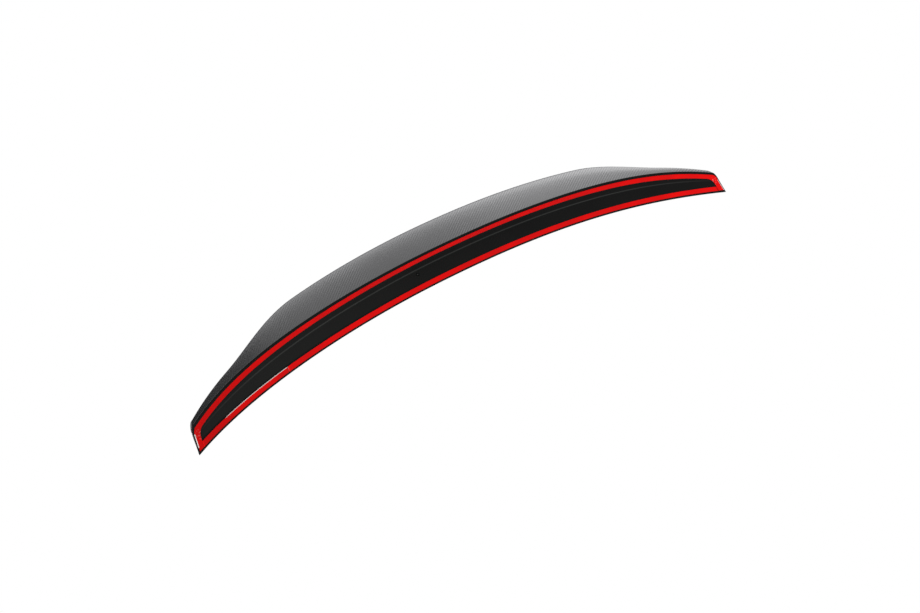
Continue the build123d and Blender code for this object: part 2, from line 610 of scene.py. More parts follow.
@dataclass(frozen=True, kw_only=True)
class CarbonFinish(Finish):
    """Clear-coated film with a fine carbon twill, and a dark edge without the coat."""

    warp: Colour = (0.076, 0.076, 0.078, 1.0)
    weft: Colour = (0.132, 0.132, 0.135, 1.0)
    plain: Colour = (0.100, 0.100, 0.102, 1.0)
    edge: Colour = (0.020, 0.020, 0.021, 1.0)
    grazing: Colour = (0.6, 0.6, 0.6, 1.0)
    tow_width: float = 1.45 * MM
    turn: float = np.radians(10.0)
    # painted shade across each tow: darker at its edges, brightest along its middle
    tow_shading: Span = (0.80, 1.05)
    tones: Span = (0.94, 1.06)
    depths: Span = (0.10, 0.90)
    depth_patches: Span = (0.42, 0.64)
    patch_scale: float = 9.0
    metallic: float = 0.97
    roughness: float = 0.26
    spread: float = 0.05
    coat: float = 0.4
    coat_roughness: float = 0.12
    bump: float = 0.06

    def build(self, groups: Groups) -> Material:
        """Twill under a clear coat.

        The weft is the brighter way of the weave, each tow has painted shade across its round
        section so that it is brightest along its middle, and slow patches show the weave less.  The
        edge lies where the piece's own lip mask is one.

        Args:
            groups: the shared node groups.

        Returns:
            The material.
        """
        material, graph, shader = new_material("carbon_film")
        twill = graph.group(groups.twill, Tow_Width=self.tow_width, Turn=self.turn).outputs
        patch = self.grain(graph, groups)["Patch"]
        # painted shade of each tow's round section
        tow_shading = graph.span(twill["Height"], self.tow_shading)
        shade = graph.math("MULTIPLY", tow_shading, graph.span(twill["Tone"], self.tones))
        tint = graph.node("CombineColor", dict.fromkeys(("Red", "Green", "Blue"), shade))
        cloth = graph.blend(twill["Weft"], self.warp, self.weft)
        woven = graph.blend(1.0, cloth, tint.outputs[0], mode="MULTIPLY")
        film = graph.blend(graph.span(patch, self.depths, self.depth_patches), self.plain, woven)
        lip = graph.mask("lip")
        self.dress(graph, shader, graph.blend(lip, film, self.edge), patch, twill["Height"])
        looks = {
            "Metallic": self.metallic,
            "Specular Tint": self.grazing,
            "Coat Weight": graph.span(lip, (self.coat, 0.0)),
            "Coat Roughness": self.coat_roughness,
        }
        graph.fill(shader, looks)
        return material


@dataclass(frozen=True, kw_only=True)
class MouldingFinish(Finish):
    """Matte black of the bare moulding, with a painted highlight along the crease and on the mark's
    nub, and painted shade in the mark's ring.
    """

    black: Colour = (0.0060, 0.0062, 0.0060, 1.0)
    patch: Colour = (0.0095, 0.0097, 0.0094, 1.0)
    # painted highlight: pale grey that stands in for the light caught along the crease and on the
    # mark's nub
    highlight_grey: Colour = (0.050, 0.051, 0.049, 1.0)
    # painted shade: near black that stands in for the shade inside the mark's ring
    ring_shade: Colour = (0.0022, 0.0022, 0.0024, 1.0)
    fine_scale: float = 1400.0
    patch_scale: float = 14.0
    roughness: float = 0.6
    specular: float = 0.05
    bump: float = 0.25

    def build(self, groups: Groups) -> Material:
        """Grained black with slow patches, a painted highlight and painted shade by the piece's own
        masks.

        Args:
            groups: the shared node groups.

        Returns:
            The material.
        """
        material, graph, shader = new_material("black_moulding")
        grain = self.grain(graph, groups)
        ground = graph.blend(grain["Patch"], self.black, self.patch)
        # painted highlight along the crease and on the nub, paler towards the left end
        highlighted = graph.blend(graph.mask("painted_highlight"), ground, self.highlight_grey)
        # painted shade in the mark's ring
        colour = graph.blend(graph.mask("ring_shade"), highlighted, self.ring_shade)
        self.dress(graph, shader, colour, grain["Height"], grain["Height"])
        return material


@dataclass(frozen=True, kw_only=True)
class LinerFinish(Finish):
    """Glossy red peel-off film."""

    red: Colour = (0.92, 0.0050, 0.0045, 1.0)
    deep: Colour = (0.77, 0.0055, 0.0060, 1.0)
    # painted highlight: pale pink that stands in for glints on the crease ridges
    glint_colour: Colour = (0.92, 0.34, 0.33, 1.0)
    patches: Span = (0.35, 0.65)
    fine_scale: float = 260.0
    patch_scale: float = 22.0
    roughness: float = 0.34
    spread: float = 0.06
    specular: float = 0.05
    bump: float = 0.2
    bump_depth: float = 0.2 * MM

    def build(self, groups: Groups) -> Material:
        """Red with slow patches, the ripple of a film on foam, and painted glints on the crease
        ridges by the piece's mask.

        Args:
            groups: the shared node groups.

        Returns:
            The material.
        """
        material, graph, shader = new_material("red_liner")
        grain = self.grain(graph, groups)
        patches = graph.span(grain["Patch"], (0.0, 1.0), self.patches)
        film = graph.blend(patches, self.red, self.deep)
        # painted glints on the crease ridges
        colour = graph.blend(graph.mask("crease_glint"), film, self.glint_colour)
        self.dress(graph, shader, colour, grain["Height"], grain["Height"])
        return material


@dataclass(frozen=True, kw_only=True)
class FoamFinish(Finish):
    """Pale closed-cell foam of the tape."""

    pale: Colour = (0.88, 0.84, 0.81, 1.0)
    pore: Colour = (0.74, 0.70, 0.67, 1.0)
    fine_scale: float = 2200.0
    patch_scale: float = 40.0
    roughness: float = 0.80
    bump: float = 0.4

    def build(self, groups: Groups) -> Material:
        """Pale foam, darker and lower in its pores.

        Args:
            groups: the shared node groups.

        Returns:
            The material.
        """
        material, graph, shader = new_material("pale_foam")
        grain = self.grain(graph, groups)
        colour = graph.blend(grain["Height"], self.pore, self.pale)
        self.dress(graph, shader, colour, grain["Patch"], grain["Height"])
        return material


class Part(IntEnum):
    """Parts of a section's outline, in order from the middle of the leading edge."""

    NOSE_LOW = 0  # lower half of the leading edge
    FRONT_LAND = 1
    FOLD = 2
    FLOOR = 3  # of the channel
    CREASE = 4
    REAR_LAND = 5
    REAR_CORNER = 6  # bottom corner
    REAR_FACE = 7
    LIP_LOW = 8
    LIP_HIGH = 9
    TOP = 10  # dished
    NOSE_HIGH = 11  # upper half of the leading edge


@dataclass(frozen=True)
class MouldMark:
    """Small ring in the channel's floor, sunk round a flush nub, where the grid is finer."""

    x: float = -98 * MM
    from_crease: float = 8.5 * MM
    radius: float = 3 * MM
    nub_radius: float = 1.2 * MM
    depth: float = 0.7 * MM
    wall: float = 0.25 * MM
    highlight_run: float = 0.3 * MM
    shade_run: float = 0.4 * MM
    shade_reach: float = 0.8 * MM
    row_reach: float = 1.3
    row_count: int = 25
    floor_share: float = 0.69
    floor_pull: float = 0.75

    def rows(self) -> Array:
        """Places of the rows along the span beside the mark."""
        return self.x + np.linspace(-self.row_reach, self.row_reach, self.row_count) * self.radius

    def drawn(self, t: Array) -> Array:
        """Shares along the floor, drawn towards the mark by a squared sine, nought at both ends."""
        return t + self.floor_pull * (self.floor_share - t) * np.sin(np.pi * t) ** 2

    def frame(self, form: SpoilerForm) -> tuple[Array, Array]:
        """Where the mark lies.

        Args:
            form: section formulas of the spoiler.

        Returns:
            Middle of the mark on the floor, and the direction into the floor.
        """
        c = form.corners(np.array(self.x))
        run = unit(c.crease - c.fold)
        middle = np.concatenate([[self.x], c.crease - run * self.from_crease])
        return middle, np.concatenate([[0.0], -left_of(run)])

    def ring(self, radius: Array) -> Array:
        """Share of the depth at a radius: one between the two radii, with soft walls."""
        inner = ease((radius - self.nub_radius) / self.wall)
        return inner * ease((self.radius - radius) / self.wall)

    def painted_highlight(self, radius: Array) -> Array:
        """How much painted highlight the nub has at a radius."""
        return ease((self.nub_radius - radius) / self.highlight_run)

    def shade(self, radius: Array) -> Array:
        """How dark the painted shade in the ring is at a radius, a little beyond its wall too."""
        outer = ease((self.radius + self.shade_reach - radius) / self.shade_reach)
        return ease((radius - self.nub_radius) / self.shade_run) * outer


@dataclass
class Moulding:
    """The spoiler's body, one closed surface from sections along the span."""

    form: SpoilerForm
    mark: MouldMark = MouldMark()
    rows: int = 300
    end_pull: float = 0.25
    end_round: float = 0.9 * MM
    end_turns: tuple[float, ...] = (25.0, 50.0, 75.0)
    end_ramp: float = 70 * MM
    end_trim: float = 0.1 * MM
    corner_share: float = 0.26
    corner_run: float = 10.5 * MM
    fold_round: float = 2.5 * MM
    crease_round: float = 2.2 * MM
    rear_corner_round: float = 1.8 * MM
    film_from: float = 0.62
    nose: float = 0.72 * MM
    face_bulge: float = 0.018
    # width and fade of the painted highlight along the crease, and how far the underside pales
    # towards the left end
    highlight_width: float = 1.0 * MM
    highlight_power: float = 4.0
    left_paling: float = 0.20
    left_paling_from: float = 0.3
    left_paling_run: float = 1.4
    counts: tuple[int, ...] = (4, 5, 4, 32, 8, 7, 8, 18, 5, 5, 82, 4)  # points of each part

    def columns(self) -> tuple[Array, Array]:
        """Points of the outline, closer together on the floor beside the mark.

        Returns:
            Part number of each point, and its share along that part.
        """
        parts = np.repeat(np.arange(len(Part)), self.counts)
        shares = np.concatenate([np.arange(n) / n for n in self.counts])
        floor = parts == Part.FLOOR
        shares[floor] = self.mark.drawn(shares[floor])
        return parts, shares

    def stations(self) -> Array:
        """Rows along the span, closer together at the ends and beside the mark.

        Returns:
            Their places, in order.
        """
        t = np.linspace(-1, 1, self.rows)
        pulled = (1 - self.end_pull) * t + self.end_pull * np.sin(np.pi * t / 2)
        even = (self.form.half_span - self.end_round - self.end_trim) * pulled
        mark = self.mark.rows()
        even = even[(even < mark[0]) | (even > mark[-1])]
        return np.sort(np.concatenate([even, mark]))

    def outline(self, x: Array, parts: Array, shares: Array) -> Array:
        """Outline points of sections.

        Lands and floor are straight, the fold, crease and rear corner are quadratic curves from one
        run to the next, the lip and leading edge are half ellipses, the rear face is a parabola a
        little outside its chord, and the top is one below its chord.

        Args:
            x: place of each point along the span, rows by columns.
            parts: part number of each column.
            shares: share along the part of each column.

        Returns:
            (Y, Z) of each point.
        """
        result = np.empty(x.shape + (2,))
        for part in Part:
            mine = parts == part
            c = self.form.corners(x[:, mine])
            result[:, mine] = self.part_points(part, c, shares[mine][None, :, None])
        return result

    def part_points(self, part: Part, c: Corners, t: Array) -> Array:
        """Points of one part of the outline.

        Args:
            part: which part.
            c: corners of the points' sections.
            t: share of each column along the part.

        Returns:
            (Y, Z) of each point.
        """
        floor = unit(c.crease - c.fold)
        land = unit(c.rear - c.crease)
        face = unit(c.lip_low - c.rear)
        foot = c.front + c.along * self.nose
        brow = c.top_front + c.along * self.nose
        quarter = np.pi / 2

        def run(a: Array, b: Array) -> Array:
            """Straight run from a to b."""
            return a + (b - a) * t

        def bend(corner: Array, before: Array, after: Array, reach: float) -> Array:
            """Quadratic curve round a corner, from one direction to the next."""
            start, stop = corner - before * reach, corner + after * reach
            return (1 - t) ** 2 * start + 2 * t * (1 - t) * corner + t**2 * stop

        def nose(a: Array, b: Array, turn: Array) -> Array:
            """Half ellipse from a to b, at a turn of up to half a circle."""
            out = left_of(unit(b - a)) * self.nose
            return (a + b) / 2 - (b - a) / 2 * np.cos(turn) + out * np.sin(turn)

        match part:
            case Part.NOSE_LOW:
                return nose(brow, foot, quarter * (1 + t))
            case Part.FRONT_LAND:
                return run(foot, c.fold - c.along * self.fold_round)
            case Part.FOLD:
                return bend(c.fold, c.along, floor, self.fold_round)
            case Part.FLOOR:
                return run(c.fold + floor * self.fold_round, c.crease - floor * self.crease_round)
            case Part.CREASE:
                return bend(c.crease, floor, land, self.crease_round)
            case Part.REAR_LAND:
                start = c.crease + land * self.crease_round
                return run(start, c.rear - land * self.rear_corner_round)
            case Part.REAR_CORNER:
                return bend(c.rear, land, face, self.rear_corner_round)
            case Part.REAR_FACE:
                length = np.linalg.norm(c.lip_low - c.rear, axis=-1, keepdims=True)
                bulge = left_of(face) * (4 * self.face_bulge * t * (1 - t)) * length
                return run(c.rear + face * self.rear_corner_round, c.lip_low) + bulge
            case Part.LIP_LOW:
                return nose(c.lip_low, c.lip_high, quarter * t)
            case Part.LIP_HIGH:
                return nose(c.lip_low, c.lip_high, quarter * (1 + t))
            case Part.TOP:
                sag = left_of(unit(brow - c.lip_high)) * (-4 * c.dish[..., None] * t * (1 - t))
                return run(c.lip_high, brow) + sag
            case Part.NOSE_HIGH:
                return nose(brow, foot, quarter * t)

    def place_rows(self, parts: Array, shares: Array) -> Array:
        """Place along the span of every point.

        The rows are straight across, and lean near the ends into the slanted cuts and their round
        rear corners, which are quarter ellipses.

        Args:
            parts: part number of each column.
            shares: share along the part of each column.

        Returns:
            X of each point, rows by columns.
        """
        stations = self.stations()
        end = np.full((1, len(parts)), self.form.half_span)
        y = self.outline(end, parts, shares)[0, :, 0]
        depth = (y.max() - y) / (y.max() - y.min())
        turn = np.clip((depth - 1 + self.corner_share) / self.corner_share, 0, 1)
        shift = self.form.end_slant * depth + self.corner_run * (1 - np.sqrt(1 - turn**2))
        near = ease((np.abs(stations) - self.form.half_span + self.end_ramp) / self.end_ramp)
        return stations[:, None] - np.sign(stations)[:, None] * near[:, None] * shift[None, :]

    def press_mark(self, points: Array, parts: Array) -> None:
        """Sinks the mark's ring into the floor.

        Args:
            points: the body's points, rows by columns, which are moved.
            parts: part number of each column.
        """
        floor = parts == Part.FLOOR
        middle, inward = self.mark.frame(self.form)
        ring = self.mark.ring(np.linalg.norm(points[:, floor] - middle, axis=-1))
        points[:, floor] += ring[..., None] * self.mark.depth * inward

    def round_ends(self, points: Array) -> Array:
        """Adds rows that draw each end in to a rounded edge.

        The rows follow a quarter ellipse, further out and nearer to the middle of the thickness.

        Args:
            points: rows by columns.

        Returns:
            The points, with the new rows before and after them.
        """
        partner = -np.arange(points.shape[1]) % points.shape[1]
        turns = np.radians(self.end_turns)[:, None, None]
        rows = []
        for end, side in ((points[0], -1.0), (points[-1], 1.0)):
            spine = (end + end[partner]) / 2
            ring = spine + (end - spine) * np.cos(turns)
            ring[..., 0] += side * self.end_round * np.sin(turns[..., 0])
            rows.append(ring)
        return np.concatenate([rows[0][::-1], points, rows[1]])

    def build(self, carbon: Material, black: Material) -> Piece:
        """Closed body with its weave map and its masks.

        Args:
            carbon: finish of the rear face, lip and top, from a share of the rear corner on.
            black: finish of the mounting face.

        Returns:
            The body's object.
        """
        parts, shares = self.columns()
        x = self.place_rows(parts, shares)
        points = np.concatenate([x[..., None], self.outline(x, parts, shares)], axis=-1)
        self.press_mark(points, parts)
        points = self.round_ends(points)
        rows, columns = points.shape[:2]
        j = np.arange(columns // 2)
        across = np.stack([columns - 1 - j, -j % columns, j, j + 1], axis=-1)
        faces = [ring_faces(rows, columns)]
        for closing in (across, across[:, ::-1] + (rows - 1) * columns):
            faces += [closing[1:-1], closing[:1, [0, 1, 3]], closing[-1:, [0, 1, 2]]]
        piece = mesh_object("body_moulding", points.reshape(-1, 3), faces)
        self.map_weave(piece, points, parts)
        self.write_masks(piece, points, parts)
        piece.data.materials.append(black)
        piece.data.materials.append(carbon)
        film_start = int(np.argmax(parts + shares >= Part.REAR_CORNER + self.film_from))
        outer = np.tile(np.arange(columns) >= film_start, rows - 1)
        slots = np.zeros(len(piece.data.polygons), dtype=np.int32)
        slots[: len(outer)] = outer
        piece.data.polygons.foreach_set("material_index", slots)
        return piece

    def map_weave(self, piece: Piece, points: Array, parts: Array) -> None:
        """UV map of the body, in metres.

        U is the length along the rear edge from its middle, and V is the length round the section
        from that edge.  Where the round closes, V goes on from the last point.

        Args:
            piece: the body.
            points: its points, rows by columns.
            parts: part number of each column.
        """
        rows, columns = points.shape[:2]
        start = int(np.argmax(parts == Part.REAR_FACE))
        closed = np.concatenate([points, points[:, :1]], axis=1)
        round_length = lengths_along(closed.swapaxes(0, 1)).T
        round_length -= round_length[:, [start]]
        edge_length = lengths_along(points[:, start])
        edge_length -= edge_length[-1] / 2
        grid = np.stack(np.broadcast_arrays(edge_length[:, None], round_length), axis=-1)
        loops = np.empty(len(piece.data.loops), dtype=np.int64)
        piece.data.loops.foreach_get("vertex_index", loops)
        row, column = loops // columns, loops % columns
        number = np.arange(len(loops))
        far_side = number % QUAD >= QUAD // 2
        last = (number // QUAD) % columns == columns - 1
        wrapped = last & far_side & (number < QUAD * (rows - 1) * columns)
        column = np.where(wrapped, columns, column)
        layer = piece.data.uv_layers.new(name=WEAVE_MAP)
        layer.data.foreach_set("uv", grid[row, column].astype(np.float32).ravel())

    def write_masks(self, piece: Piece, points: Array, parts: Array) -> None:
        """Point masks of the body.

        The painted highlight mask is one along the crease and on the mark's nub, and grows slowly
        to the left.
        The ring shade mask is one in the mark's ring, for its painted shade, and the lip mask is
        one on the lip.

        Args:
            piece: the body.
            points: its points, rows by columns.
            parts: part number of each column.
        """
        share = points[..., 0] / self.form.half_span
        below = np.isin(parts, [Part.FLOOR, Part.CREASE, Part.REAR_LAND])[None, :]
        crease = self.form.corners(points[..., 0]).crease
        distance = np.linalg.norm(points[..., 1:] - crease, axis=-1)
        radius = np.linalg.norm(points - self.mark.frame(self.form)[0], axis=-1)
        # painted highlight: along the crease, on the nub, and paler towards the left end
        painted_highlight = np.exp(-((distance / self.highlight_width) ** 2)) * (1 - np.abs(share) ** self.highlight_power)
        painted_highlight += self.mark.painted_highlight(radius)
        painted_highlight += self.left_paling * ease((self.left_paling_from - share) / self.left_paling_run)
        lip = np.isin(parts, [Part.LIP_LOW, Part.LIP_HIGH])[None, :]
        write_mask(piece, "painted_highlight", painted_highlight * below)
        # painted shade in and just beyond the mark's ring
        write_mask(piece, "ring_shade", self.mark.shade(radius) * below)
        write_mask(piece, "lip", lip * np.ones_like(painted_highlight))


@dataclass
class PlanEdges:
    """The two edges of a length of tape seen from above, point by point along it, as (X, Y)."""

    outer: Array
    inner: Array

    def trimmed(self, outer: Array, inner: Array) -> PlanEdges:
        """Edges moved towards each other by distances along the tape."""
        across = unit(self.inner - self.outer)
        return PlanEdges(self.outer + across * outer[:, None], self.inner - across * inner[:, None])


@dataclass(frozen=True)
class Creases:
    """Narrow ridges of the liner where the tape turns.

    They run from the first to the last share of the way forward at the ends.
    """

    height: float = 0.35 * MM
    pitch: float = 3.4 * MM
    first: float = 0.03
    last: float = 0.62
    fade: float = 0.1
    blur: float = 3 * MM
    sharpness: int = 3
    bow: float = 2.2
    bow_waves: float = 7.0
    patch_waves: float = 9.0
    patch_rate: float = 0.43
    least: float = 0.35
    # how strongly, and from what ridge height, the painted glints show
    pale: float = 0.5
    pale_from: float = 0.2
    pale_run: float = 0.4

    def lift(self, edges: PlanEdges, forward: Array, radius: float, across: Array) -> Array:
        """Height of the ridges.

        Each ridge is a sharpened sine along the tape, bowed across it and broken up by a slower
        sine.  It is highest on the inside of the bend, and fades with the tape's turning.

        Args:
            edges: plan edges of the liner.
            forward: share of the way forward of each place along it.
            radius: of the bend's outer edge.
            across: share across the tape of each point of its section.

        Returns:
            Height of each point, one row for each place along the tape.
        """
        middle = (edges.outer + edges.inner) / 2
        length = lengths_along(edges.outer)
        heading = np.unwrap(np.arctan2(*np.gradient(middle, axis=0).T[::-1]))
        turning = np.abs(np.gradient(heading, length))
        spread = np.exp(-(((length[:, None] - length[None, :]) / self.blur) ** 2))
        near = ease((spread @ turning) / spread.sum(axis=1) * radius)
        near *= ease((forward - self.first) / self.fade) * ease((self.last - forward) / self.fade)
        turns = 2 * np.pi * length[:, None] / self.pitch
        across = across[None, :]
        ridge = 0.5 + 0.5 * np.sin(turns + self.bow * np.sin(self.bow_waves * across))
        patch = 0.5 + 0.5 * np.sin(self.patch_waves * across + self.patch_rate * turns)
        inside = self.least + (1 - self.least) * across
        return self.height * near[:, None] * ridge**self.sharpness * patch * inside

    def glint_share(self, lift: Array) -> Array:
        """How much painted glint the liner has where a ridge stands up."""
        return self.pale * ease((lift / self.height - self.pale_from) / self.pale_run)


@dataclass(frozen=True)
class BareFoam:
    """Where the liner lies back and the foam shows: beside the ends and along the left length.

    The lines beside the ends run between shares of the way forward, and the left one is wider near
    its start.
    """

    width: float = 0.9 * MM
    left_line: Span = (0.17, 0.76)
    right_line: Span = (0.24, 0.92)
    beside_from: float = 0.97
    fade: float = 0.05
    dab: float = 1.2
    dab_place: float = 0.06
    dab_run: float = 0.04
    front_from: float = 0.9
    front_run: float = 0.03

    def beside_ends(self, share: Array, forward: Array) -> Array:
        """How much foam shows beside the ends: lines that fade at both ends, and a dab on the left.

        Args:
            share: share of the half span of each place along the tape.
            forward: share of the way forward of each place.

        Returns:
            Shares of the width that show.
        """
        lines = zip(self.left_line, self.right_line)
        start, stop = (np.where(share < 0, *pair) for pair in lines)
        line = ease((forward - start) / self.fade) * ease((stop - forward) / self.fade)
        dab = np.exp(-(((forward - start - self.dab_place) / self.dab_run) ** 2))
        return (np.abs(share) > self.beside_from) * line * (1 + self.dab * (share < 0) * dab)

    def along_front(self, share: Array) -> Array:
        """Shares of the width that show along the left front length."""
        return ease((share + self.front_from) / self.front_run)


@dataclass
class Tape:
    """Foam tape with its liner: a length turned round both rear corners, and two in front."""

    form: SpoilerForm
    creases: Creases = Creases()
    bare: BareFoam = BareFoam()
    width: float = 10 * MM
    foam_thickness: float = 1 * MM
    liner_thickness: float = 0.15 * MM
    front_margin: float = 3.3 * MM
    rear_margin: float = 5 * MM
    end_margin: float = 2.2 * MM
    bend_outer_radius: float = 13 * MM
    bend_inner_radius: float = 20 * MM
    joint_x: float = -406 * MM
    joint_gap: float = 0.4 * MM
    butt_gap: float = 0.1 * MM
    root: float = 0.1 * MM
    edge_round: float = 0.05 * MM
    foam_inset: float = 1.1 * MM
    liner_inset: float = 0.1 * MM
    rear_inset: float = 0.8 * MM
    front_inset: float = 0.7 * MM
    straight_to: float = 0.98
    straight_fade: float = 0.03
    run_points: int = 160
    arc_points: int = 70
    end_points: int = 60
    left_points: int = 80
    main_points: int = 300
    flat_points: int = 15
    flat_from: float = 0.02
    side_points: int = 4
    end_rounds: int = 20

    def meet_end(self, edge: Callable[[Array], Array], inset: float) -> float:
        """Where a curve along the span meets the right end's line, by repeated substitution.

        Args:
            edge: Y of the curve at X.
            inset: distance of the line inboard of the end.

        Returns:
            X of that point.
        """
        x = np.array(self.form.half_span - inset)
        for _ in range(self.end_rounds):
            x = self.form.end_line(edge(x), inset)
        return float(x)

    def corner_path(self, distance: float, inset: float, radius: float) -> Array:
        """Right half of one edge of the rear tape.

        It runs along the rear land, round an arc that touches both lines, and then forward beside
        the end.

        Args:
            distance: from the rear edge, along the rear land.
            inset: from the end.
            radius: of the arc.

        Returns:
            (X, Y) from the centre line to the front tape.
        """

        def edge(x: Array) -> Array:
            """Y of the line along the rear land."""
            return self.form.rear_land(np.asarray(x), distance)[..., 0]

        corner_x = self.meet_end(edge, inset)
        corner = np.array([corner_x, float(edge(corner_x))])
        step = 1 * MM
        inboard = unit(np.array([-step, float(edge(corner_x - step)) - corner[1]]))
        beside = float(self.form.end_line(corner[1] + step, inset)) - corner_x
        forward = unit(np.array([beside, step]))
        half = np.arccos(inboard @ forward) / 2
        reach = radius / np.tan(half)
        centre = corner + unit(inboard + forward) * radius / np.sin(half)
        start, stop = corner + inboard * reach, corner + forward * reach
        first = np.arctan2(*(start - centre)[::-1])
        angles = first + np.linspace(0, np.pi - 2 * half, self.arc_points)
        arc = centre + radius * np.stack([np.cos(angles), np.sin(angles)], axis=-1)
        x = np.linspace(0, start[0], self.run_points)[:-1]
        run = np.stack([x, edge(x)], axis=-1)
        front = self.form.front_land(np.array(corner_x), self.front_margin)[0]
        y = np.linspace(stop[1], float(front), self.end_points)[1:]
        end = np.stack([self.form.end_line(y, inset), y], axis=-1)
        return np.concatenate([run, arc, end])

    def rear_edges(self) -> PlanEdges:
        """Both edges of the rear tape: their right halves, and the same mirrored.

        Returns:
            The edges, from the right end to the left.
        """
        bends = ((0.0, self.bend_outer_radius), (self.width, self.bend_inner_radius))
        halves = (
            self.corner_path(self.rear_margin + more, self.end_margin + more, radius)
            for more, radius in bends
        )
        return PlanEdges(*(np.concatenate([half[:0:-1], half * [-1, 1]]) for half in halves))

    def front_edges(self, left: bool) -> PlanEdges:
        """Both edges of one length of the front tape.

        Args:
            left: whether it is the short length, left of the butt joint.

        Returns:
            The edges, from the left to the right.
        """
        edges = []
        for distance in (self.front_margin, self.front_margin + self.width):

            def edge(x: Array, distance: float = distance) -> Array:
                """Y of the line along the front land."""
                return self.form.front_land(np.asarray(x), distance)[..., 0]

            tip = self.meet_end(edge, self.end_margin + self.width + self.butt_gap)
            start, stop = (-tip, self.joint_x) if left else (self.joint_x + self.joint_gap, tip)
            x = np.linspace(start, stop, self.left_points if left else self.main_points)
            edges.append(np.stack([x, edge(x)], axis=-1))
        return PlanEdges(*edges)

    def strip(
        self, name: str, edges: PlanEdges, section: tuple[Array, Array], lift: Array
    ) -> Piece:
        """Closed strip along the mounting face.

        Each point lies at a share across the tape, and at a depth below the face along its normal.

        Args:
            name: the piece's name.
            edges: plan edges of the strip.
            section: share across the tape and depth of each point of its section.
            lift: depth added to each point, one row for each place along the strip.

        Returns:
            The strip's object.
        """
        across, depth = section
        wide = (edges.inner - edges.outer)[:, None]
        plan = edges.outer[:, None] + wide * across[None, :, None]
        x, y = plan[..., 0], plan[..., 1]
        face = np.stack([x, y, self.form.seat_height(x, y)], axis=-1)
        points = face + self.form.seat_normal(x, y) * (depth[None, :] + lift)[..., None]
        rows, columns = x.shape
        rim = np.arange(columns)[None]
        caps = [rim, (rim + (rows - 1) * columns)[:, ::-1]]
        return mesh_object(name, points.reshape(-1, 3), [ring_faces(rows, columns), *caps])

    def forward_share(self, plan: Array) -> Array:
        """Share of the way forward, from the rear edge to the front at the ends, of plan points."""
        ends = self.form.corners(np.array(self.form.half_span))
        return (plan[:, 1] - ends.rear[0]) / (ends.front[0] - ends.rear[0])

    def slab(self, top: float, bottom: float) -> tuple[Array, Array]:
        """Section of a slab with small round edges, in order round it.

        Args:
            top: depth of the side next to the face.
            bottom: depth of the side away from it.

        Returns:
            Shares across the tape, and depths.
        """
        edge = self.edge_round / self.width
        inner = np.linspace(self.flat_from, 1 - self.flat_from, self.flat_points)
        flat = np.concatenate([[edge], inner, [1 - edge]])
        side = np.linspace(bottom - self.edge_round, top + self.edge_round, self.side_points)
        across = np.concatenate([flat, np.ones_like(side), flat[::-1], np.zeros_like(side)])
        level = np.ones_like(flat)
        return across, np.concatenate([level * bottom, side, level * top, side[::-1]])

    def build_length(
        self, node: str, core: PlanEdges, film: PlanEdges, foam: Material, liner: Material
    ) -> None:
        """Foam and liner of one length of tape, tied to their nodes.

        Args:
            node: start of the names of the nodes that they stand for.
            core: plan edges of the foam.
            film: plan edges of the liner.
            foam: the foam's finish.
            liner: the liner's finish.
        """
        section = self.slab(-self.root, self.foam_thickness)
        flat = np.zeros((len(core.outer), len(section[0])))
        below = self.strip(f"{node}_core", core, section, flat)
        section = self.slab(self.foam_thickness, self.foam_thickness + self.liner_thickness)
        forward = self.forward_share((film.outer + film.inner) / 2)
        lift = self.creases.lift(film, forward, self.bend_outer_radius, section[0])
        lift *= section[1] > self.foam_thickness + self.liner_thickness / 2
        above = self.strip(f"{node}_film", film, section, lift)
        # painted glints where the crease ridges stand up
        write_mask(above, "crease_glint", self.creases.glint_share(lift))
        for piece, material, slot in ((below, foam, "foam"), (above, liner, "liner")):
            piece.data.materials.append(material)
            attach(piece, f"{node}_{slot}")

    def build(self, foam: Material, liner: Material) -> None:
        """All three lengths of tape.

        The liners lie a little inside the edges of the solids, and the foam further in still, apart
        from where it shows.

        Args:
            foam: the foam's finish.
            liner: the liner's finish.
        """
        rear, left, main = self.rear_edges(), self.front_edges(True), self.front_edges(False)
        half_span = self.form.half_span
        ends = self.bare.beside_ends(rear.outer[:, 0] / half_span, self.forward_share(rear.outer))
        front = self.bare.along_front(left.inner[:, 0] / half_span)
        none = np.zeros(len(main.outer))
        bend_share = np.abs(rear.inner[:, 0]) / half_span
        straight = ease((self.straight_to - bend_share) / self.straight_fade)
        rear_inset = self.liner_inset + (self.rear_inset - self.liner_inset) * straight
        front_insets = (self.front_inset, self.liner_inset)
        for node, edges, shown, insets in (
            ("rear_tape", rear, (ends, 0 * ends), (self.liner_inset, rear_inset)),
            ("front_tape_left", left, (0 * front, front), front_insets),
            ("front_tape_main", main, (none, none), front_insets),
        ):
            trims = []
            for inset, bare in zip(insets, shown):
                hidden = 1 - np.minimum(bare, 1)
                back = inset * hidden + self.bare.width * bare
                trims.append(((inset + self.foam_inset) * hidden, back))
            core, film = (edges.trimmed(*pair) for pair in zip(*trims))
            self.build_length(node, core, film, foam, liner)


def attach(piece: Piece, node: str) -> None:
    """Ties a piece to the body and to the node that it stands for.

    Args:
        piece: the piece.
        node: name of the node.
    """
    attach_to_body(piece, ROOT_BODY)
    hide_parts(node)
    LOG.info("%s stands for %s, %d faces", piece.name, node, len(piece.data.polygons))


@dataclass(frozen=True)
class Softbox:
    """Soft lamp, square unless its height is given, that looks at the middle of the spoiler."""

    name: str
    place: Place
    size: float
    power: float
    height: float | None = None

    def build(self) -> None:
        """Adds the lamp, turned towards the origin."""
        lamp = bpy.data.lights.new(self.name, "AREA")
        lamp.shape = "RECTANGLE"
        lamp.size = self.size
        lamp.size_y = self.height or self.size
        lamp.energy = self.power
        made = bpy.data.objects.new(self.name, lamp)
        made.location = self.place
        made.rotation_euler = Vector(self.place).to_track_quat("Z", "Y").to_euler()
        bpy.context.scene.collection.objects.link(made)


